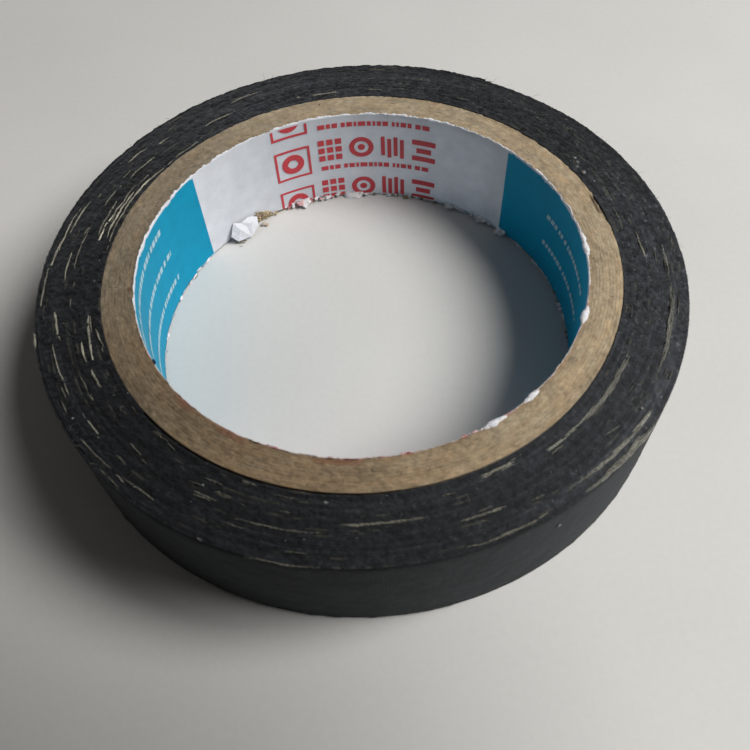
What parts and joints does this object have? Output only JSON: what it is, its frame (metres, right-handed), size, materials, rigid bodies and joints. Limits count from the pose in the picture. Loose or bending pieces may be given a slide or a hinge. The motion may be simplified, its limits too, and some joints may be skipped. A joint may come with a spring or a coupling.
{
  "type": "electrical tape roll",
  "caption": "Roll of cotton cloth electrical tape wound on a kraft paper core with a printed liner; the loose end peels away in hinged segments.",
  "frame": {"origin": "centre of the core's bore at the lower cut face", "axes": "+Z along the roll's axis, up from the face it lies on; X and Y across the roll, with the loose end on the +Y side"},
  "size_m": [0.1084, 0.1087, 0.021],
  "materials": {
    "cotton_cloth": "matt cotton weave filled with black rubber compound, with pale undyed yarn ends at the cut edges",
    "rubber_adhesive": "tacky black rubber compound, slightly glossy",
    "kraft_board": "sawn face of wound brown kraft board, fibrous, with fine ply lines",
    "printed_paper": "smooth white paper with flat blue and red printing, torn along one edge"
  },
  "bodies": {
    "roll": {"printed_liner": "printed_paper", "core_ply_01": "kraft_board", "core_ply_02": "kraft_board", "core_ply_03": "kraft_board", "core_ply_04": "kraft_board", "core_ply_05": "kraft_board", "core_ply_06": "kraft_board", "core_ply_07": "kraft_board", "core_ply_08": "kraft_board", "core_ply_09": "kraft_board", "core_ply_10": "kraft_board", "laps_cloth": "cotton_cloth", "laps_adhesive": "rubber_adhesive", "outer_lap_cloth": "cotton_cloth", "outer_lap_adhesive": "rubber_adhesive"},
    "end_1": {"end_cloth_1": "cotton_cloth", "end_adhesive_1": "rubber_adhesive"},
    "end_2": {"end_cloth_2": "cotton_cloth", "end_adhesive_2": "rubber_adhesive"},
    "end_3": {"end_cloth_3": "cotton_cloth", "end_adhesive_3": "rubber_adhesive"},
    "end_4": {"end_cloth_4": "cotton_cloth", "end_adhesive_4": "rubber_adhesive"},
    "end_5": {"end_cloth_5": "cotton_cloth", "end_adhesive_5": "rubber_adhesive"},
    "end_6": {"end_cloth_6": "cotton_cloth", "end_adhesive_6": "rubber_adhesive"}
  },
  "joints": [
    {"name": "end_peel", "type": "hinge", "parent": "roll", "child": "end_1", "pos_m": [-0.0357, 0.04107, 0.0105], "axis": [0, 0, 1], "range_deg": [0, 42]},
    {"name": "end_curl_2", "type": "hinge", "parent": "end_1", "child": "end_2", "pos_m": [-0.02638, 0.0476, 0.0105], "axis": [0, 0, 1], "range_deg": [0, 25.2]},
    {"name": "end_curl_3", "type": "hinge", "parent": "end_2", "child": "end_3", "pos_m": [-0.01591, 0.05204, 0.0105], "axis": [0, 0, 1], "range_deg": [0, 18.9]},
    {"name": "end_curl_4", "type": "hinge", "parent": "end_3", "child": "end_4", "pos_m": [-0.00474, 0.05421, 0.0105], "axis": [0, 0, 1], "range_deg": [0, 15.12]},
    {"name": "end_curl_5", "type": "hinge", "parent": "end_4", "child": "end_5", "pos_m": [0.00663, 0.05401, 0.0105], "axis": [0, 0, 1], "range_deg": [0, 13.44]},
    {"name": "end_curl_6", "type": "hinge", "parent": "end_5", "child": "end_6", "pos_m": [0.01772, 0.05146, 0.0105], "axis": [0, 0, 1], "range_deg": [0, 12.6]}
  ],
  "couplings": [
    {"joint": "end_curl_2", "follows": "end_peel", "ratio": 0.6},
    {"joint": "end_curl_3", "follows": "end_peel", "ratio": 0.45},
    {"joint": "end_curl_4", "follows": "end_peel", "ratio": 0.36},
    {"joint": "end_curl_5", "follows": "end_peel", "ratio": 0.32},
    {"joint": "end_curl_6", "follows": "end_peel", "ratio": 0.3}
  ]
}
